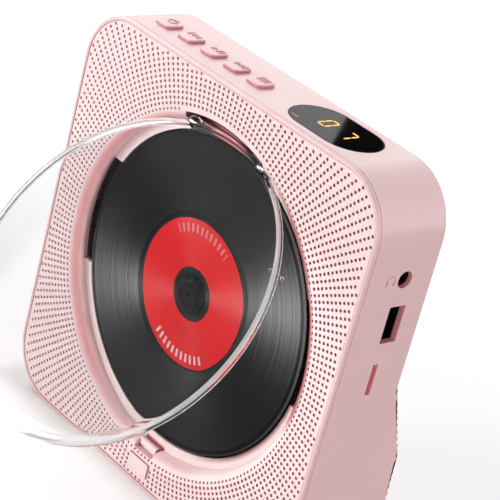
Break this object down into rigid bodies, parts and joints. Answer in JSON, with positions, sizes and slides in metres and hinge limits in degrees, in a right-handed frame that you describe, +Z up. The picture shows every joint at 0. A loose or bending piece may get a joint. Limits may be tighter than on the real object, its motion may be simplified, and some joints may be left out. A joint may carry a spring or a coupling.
{
  "type": "wall mounted disc player",
  "caption": "Upright rounded-square disc player with a round hinged clear lid, perforated front, top buttons, side sockets, keyholes for a wall and a clip-on desk stand.",
  "frame": {"origin": "middle of the cabinet's flat underside", "axes": "+X to the right of someone facing the front, +Y to the back, +Z up"},
  "size_m": [0.165, 0.1257, 0.1665],
  "materials": {
    "pink_shell": "fine satin moulded ABS",
    "pink_panel": "fine satin moulded ABS",
    "pink_button": "satin moulded ABS",
    "clear_lid": "polished clear acrylic",
    "window": "smoked acrylic",
    "black_plastic": "moulded black",
    "disc_face": "grooved black with a red label",
    "steel": "bright steel",
    "chassis_metal": "pressed sheet",
    "board": "solder mask green",
    "rubber": "soft black",
    "cell_wrap": "shrink wrap",
    "magnet": "dark ferrite",
    "cone": "treated paper",
    "lens": "coated lens",
    "display": "digit block"
  },
  "bodies": {
    "cabinet": {"cabinet_shell": "pink_shell", "front_panel": "pink_panel", "back_cover": "pink_shell", "cover_screws": "steel", "lid_hinge_pins": "steel", "deck_tray": "black_plastic", "chassis_bushes": "rubber", "deck_chassis": "chassis_metal", "chassis_screws": "steel", "spindle_motor": "steel", "guide_rods": "steel", "feed_motor": "steel", "button_board": "board", "tact_switches": "black_plastic", "display_window": "window", "display_module": "display", "display_board": "board", "main_board": "board", "headphone_jack": "black_plastic", "usb_socket": "steel", "card_socket": "steel", "power_socket": "steel", "speaker_frame_left": "chassis_metal", "speaker_cone_left": "cone", "speaker_magnet_left": "magnet", "speaker_frame_right": "chassis_metal", "speaker_cone_right": "cone", "speaker_magnet_right": "magnet", "battery_cell": "cell_wrap", "battery_holder": "black_plastic"},
    "lid_body": {"lid": "clear_lid"},
    "disc_body": {"turntable": "black_plastic", "disc_hub": "black_plastic", "compact_disc": "disc_face", "spindle_shaft": "steel"},
    "release_pad_body": {"release_pad": "pink_panel"},
    "latch_body": {"latch_hook": "pink_panel"},
    "pickup_body": {"pickup_sled": "black_plastic", "pickup_lens": "lens"},
    "lead_screw_body": {"lead_screw": "steel"},
    "stand_body": {"desk_stand": "pink_shell", "stand_plate": "pink_shell", "stand_pads": "rubber"},
    "power_button_body": {"button_power": "pink_button"},
    "previous_button_body": {"button_previous": "pink_button"},
    "play_button_body": {"button_play": "pink_button"},
    "next_button_body": {"button_next": "pink_button"},
    "mode_button_body": {"button_mode": "pink_button"}
  },
  "joints": [
    {"name": "lid_hinge", "type": "hinge", "parent": "cabinet", "child": "lid_body", "pos_m": [0, -0.0123, 0.1425], "axis": [-1, 0, 0], "range_deg": [-38, 10]},
    {"name": "disc_spin", "type": "hinge", "parent": "cabinet", "child": "disc_body", "pos_m": [0, -0.0111, 0.0815], "axis": [0, -1, 0], "continuous": true},
    {"name": "release_press", "type": "slide", "parent": "cabinet", "child": "release_pad_body", "axis": [0, 1, 0], "range_m": [0, 0.0008], "stiffness_N_per_m": 600, "springref_m": -0.0005},
    {"name": "latch_slide", "type": "slide", "parent": "cabinet", "child": "latch_body", "axis": [0, 0, -1], "range_m": [0, 0.0008]},
    {"name": "pickup_slide", "type": "slide", "parent": "cabinet", "child": "pickup_body", "axis": [-1, 0, 0], "range_m": [0, 0.034]},
    {"name": "lead_screw_turn", "type": "hinge", "parent": "cabinet", "child": "lead_screw_body", "pos_m": [0, -0.0007, 0.0585], "axis": [1, 0, 0], "range_deg": [-5, 2050]},
    {"name": "stand_release", "type": "slide", "parent": "cabinet", "child": "stand_body", "axis": [0, 1, 0], "range_m": [0, 0.012]},
    {"name": "power_press", "type": "slide", "parent": "cabinet", "child": "power_button_body", "axis": [0, 0, -1], "range_m": [0, 0.0008], "stiffness_N_per_m": 600, "springref_m": -0.0005},
    {"name": "previous_press", "type": "slide", "parent": "cabinet", "child": "previous_button_body", "axis": [0, 0, -1], "range_m": [0, 0.0008], "stiffness_N_per_m": 600, "springref_m": -0.0005},
    {"name": "play_press", "type": "slide", "parent": "cabinet", "child": "play_button_body", "axis": [0, 0, -1], "range_m": [0, 0.0008], "stiffness_N_per_m": 600, "springref_m": -0.0005},
    {"name": "next_press", "type": "slide", "parent": "cabinet", "child": "next_button_body", "axis": [0, 0, -1], "range_m": [0, 0.0008], "stiffness_N_per_m": 600, "springref_m": -0.0005},
    {"name": "mode_press", "type": "slide", "parent": "cabinet", "child": "mode_button_body", "axis": [0, 0, -1], "range_m": [0, 0.0008], "stiffness_N_per_m": 600, "springref_m": -0.0005}
  ],
  "couplings": [
    {"joint": "latch_slide", "follows": "release_press", "ratio": 1},
    {"joint": "lead_screw_turn", "follows": "pickup_slide", "rad_per_m": 1047.2}
  ]
}
